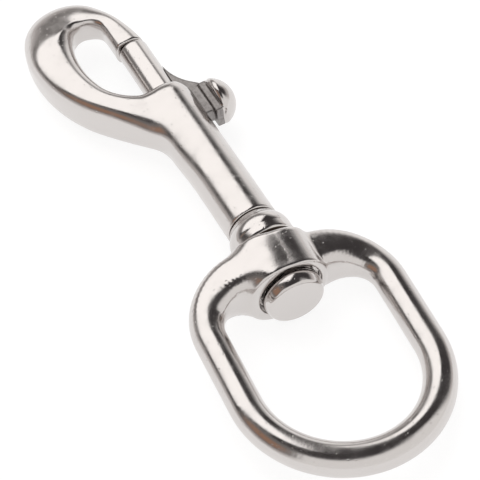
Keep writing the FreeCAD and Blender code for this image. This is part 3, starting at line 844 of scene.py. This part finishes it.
collar = turned_piece("collar_turned", collar_profile())
collar_steel = polished_steel("collar_polished", roughness=0.13)
paint(collar, collar_steel, seam_steel("collar_seam"), choose=bulge_or_seam)
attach(collar, "body")
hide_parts("end_collar")

swivel = turned_piece("stud_headed", stud_profile(), STUD_TO_FRAME)
paint(swivel, polished_steel("stud_polished", roughness=0.13))
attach(swivel, "body")
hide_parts("swivel_stud")

spring = spring_piece()
paint(spring, spring_steel("spring_drawn"))
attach(spring, "body")
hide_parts("return_spring")
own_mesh(spring)


# ---------------------------------------------------------------- stage, light and camera

def flat_panel(name, corners, colour, emission):
    """Flat matt panel with a glow of its own, which its colour darkens too."""
    mesh = bpy.data.meshes.new(name)
    mesh.from_pydata(corners, [], [tuple(range(len(corners)))])
    panel = bpy.data.objects.new(name, mesh)
    bpy.context.scene.collection.objects.link(panel)
    material = bpy.data.materials.new(name)
    material.use_nodes = True
    shader = material.node_tree.nodes["Principled BSDF"]
    shader.inputs["Base Color"].default_value = (*colour, 1.0)
    shader.inputs["Roughness"].default_value = 0.9
    shader.inputs["Specular IOR Level"].default_value = 0.0
    shader.inputs["Emission Color"].default_value = (*colour, 1.0)
    shader.inputs["Emission Strength"].default_value = emission
    mesh.materials.append(material)
    return panel


def soft_window(value, low, high, feather):
    """1 between low and high, easing to 0 across a feather centred on each end."""
    rise = smooth_step(low - feather / 2, low + feather / 2, value)
    return rise * smooth_step(high + feather / 2, high - feather / 2, value)


def panel_light(azimuth, elevation, panels, ambient):
    """Colour of the light at each place on the dome, with later panels in front of earlier ones."""
    light = np.ones(azimuth.shape + (3,)) * ambient
    for (first, last), (low, high), (side_feather, end_feather), colour, radiance in panels:
        turn = (azimuth - (first + last) / 2 + 180) % 360 - 180
        weight = soft_window(turn, (first - last) / 2, (last - first) / 2, side_feather)
        weight = (weight * soft_window(elevation, low, high, end_feather))[..., None]
        light = light * (1 - weight) + np.array(colour) * radiance * weight
    return light


def studio_dome(panels, ambient, radius=1.7, step=1.5):
    """One soft dome round the table, lit by soft-edged panels placed by azimuth and elevation."""
    azimuths = np.arange(-180, 180, step)
    elevations = np.arange(0, 90 + step, step)
    azimuth, elevation = np.meshgrid(azimuths, elevations, indexing="ij")
    light = panel_light(azimuth, elevation, panels, ambient)
    level = radius * np.cos(np.radians(elevation))
    points = np.stack([
        level * np.cos(np.radians(azimuth)),
        level * np.sin(np.radians(azimuth)),
        radius * np.sin(np.radians(elevation)),
    ], axis=-1)
    rows, columns = azimuth.shape
    faces = []
    for i in range(rows):
        for j in range(columns - 1):
            corner, beside = i * columns + j, (i + 1) % rows * columns + j
            faces.append((corner, corner + 1, beside + 1, beside))
    mesh = bpy.data.meshes.new("studio_dome")
    mesh.from_pydata(points.reshape(-1, 3).tolist(), [], faces)
    shade = mesh.color_attributes.new("light", "FLOAT_COLOR", "POINT")
    opaque = np.ones((rows, columns, 1))
    shade.data.foreach_set("color", np.concatenate([light, opaque], axis=-1).ravel())
    dome = bpy.data.objects.new("studio_dome", mesh)
    bpy.context.scene.collection.objects.link(dome)
    material = bpy.data.materials.new("studio_dome")
    material.use_nodes = True
    nodes, links = material.node_tree.nodes, material.node_tree.links
    shader = nodes["Principled BSDF"]
    shader.inputs["Base Color"].default_value = (0.0, 0.0, 0.0, 1.0)
    shader.inputs["Specular IOR Level"].default_value = 0.0
    shader.inputs["Emission Strength"].default_value = 1.0
    attribute = nodes.new("ShaderNodeAttribute")
    attribute.attribute_name = "light"
    links.new(attribute.outputs["Color"], shader.inputs["Emission Color"])
    mesh.materials.append(material)
    return dome


def fill_light(name, centre, size_m, radiance):
    """Broad lamp that evens out the floor and isn't seen in the metal."""
    lamp = bpy.data.lights.new(name, "AREA")
    lamp.shape = "SQUARE"
    lamp.size = size_m
    lamp.energy = radiance * math.pi * size_m * size_m
    box = bpy.data.objects.new(name, lamp)
    bpy.context.scene.collection.objects.link(box)
    box.location = centre
    box.visible_glossy = False
    return box


FLOOR_HALF = 1.6
FLOOR_GREY = (0.3, 0.3, 0.3)
FLOOR_GLOW = 2.67
flat_panel("floor", [(-FLOOR_HALF, -FLOOR_HALF, 0.0), (FLOOR_HALF, -FLOOR_HALF, 0.0),
                     (FLOOR_HALF, FLOOR_HALF, 0.0), (-FLOOR_HALF, FLOOR_HALF, 0.0)], FLOOR_GREY, FLOOR_GLOW)
WHITE = (1.0, 0.985, 0.97)
WARM = (1.0, 0.95, 0.925)
BROWN = (1.0, 0.6, 0.42)
BELOW_FLOOR = -60
# azimuths, elevations and feathers in degrees, then colour and radiance
studio_dome([
    ((-180, 180), (BELOW_FLOOR, 14), (1, 14), WARM, 0.62),
    ((-152, -12), (BELOW_FLOOR, 52), (18, 16), WHITE, 0.95),
    ((30, 62), (BELOW_FLOOR, 20), (24, 26), WHITE, 1.1),
    ((66, 141), (11, 28), (8, 10), WARM, 0.24),
    ((52, 144), (28, 110), (5, 8), WHITE, 1.46),
    ((152, 212), (16, 62), (14, 14), WARM, 0.2),
    ((160, 200), (20, 46), (14, 14), BROWN, 0.36),
], ambient=(0.055, 0.05, 0.051))
fill_light("fill", centre=(0.0, 0.0, 1.4), size_m=2.0, radiance=0.75)

WORLD_GREY = (0.05, 0.047, 0.047)
world = bpy.data.worlds.new("studio")
bpy.context.scene.world = world
world.use_nodes = True
world.node_tree.nodes["Background"].inputs["Color"].default_value = (*WORLD_GREY, 1.0)
bpy.context.scene.view_settings.view_transform = "Standard"

# The camera looks down on the snap from the eye's end and a little from the hook's back, slightly
# rolled. Its target and distance are in millimetres, its lens and sensor too.
VIEW_AZIMUTH = math.radians(-21.05)
VIEW_ELEVATION = math.radians(53.07)
VIEW_ROLL = math.radians(-8.26)
VIEW_DISTANCE = 315.0
VIEW_TARGET = Vector((-3.03, -0.87, -0.78))
VIEW_LENS = 136.9
SENSOR_WIDTH = 36.0
CLIP_START_M = 0.01

to_camera = Vector((
    math.sin(VIEW_AZIMUTH) * math.cos(VIEW_ELEVATION),
    -math.cos(VIEW_AZIMUTH) * math.cos(VIEW_ELEVATION),
    math.sin(VIEW_ELEVATION),
))
level_right = Vector((math.cos(VIEW_AZIMUTH), math.sin(VIEW_AZIMUTH), 0.0))
level_up = to_camera.cross(level_right)
view_up = level_up * math.cos(VIEW_ROLL) - level_right * math.sin(VIEW_ROLL)
view_right = view_up.cross(to_camera)
camera_data = bpy.data.cameras.new("camera")
camera_data.lens = VIEW_LENS
camera_data.sensor_width = SENSOR_WIDTH
camera_data.clip_start = CLIP_START_M
camera = bpy.data.objects.new("camera", camera_data)
bpy.context.scene.collection.objects.link(camera)
camera_place = TO_FRAME @ (VIEW_TARGET + to_camera * VIEW_DISTANCE)
camera_turn = Matrix((view_right, view_up, to_camera)).transposed().to_4x4()
camera.matrix_world = Matrix.Translation(camera_place) @ camera_turn
bpy.context.scene.camera = camera
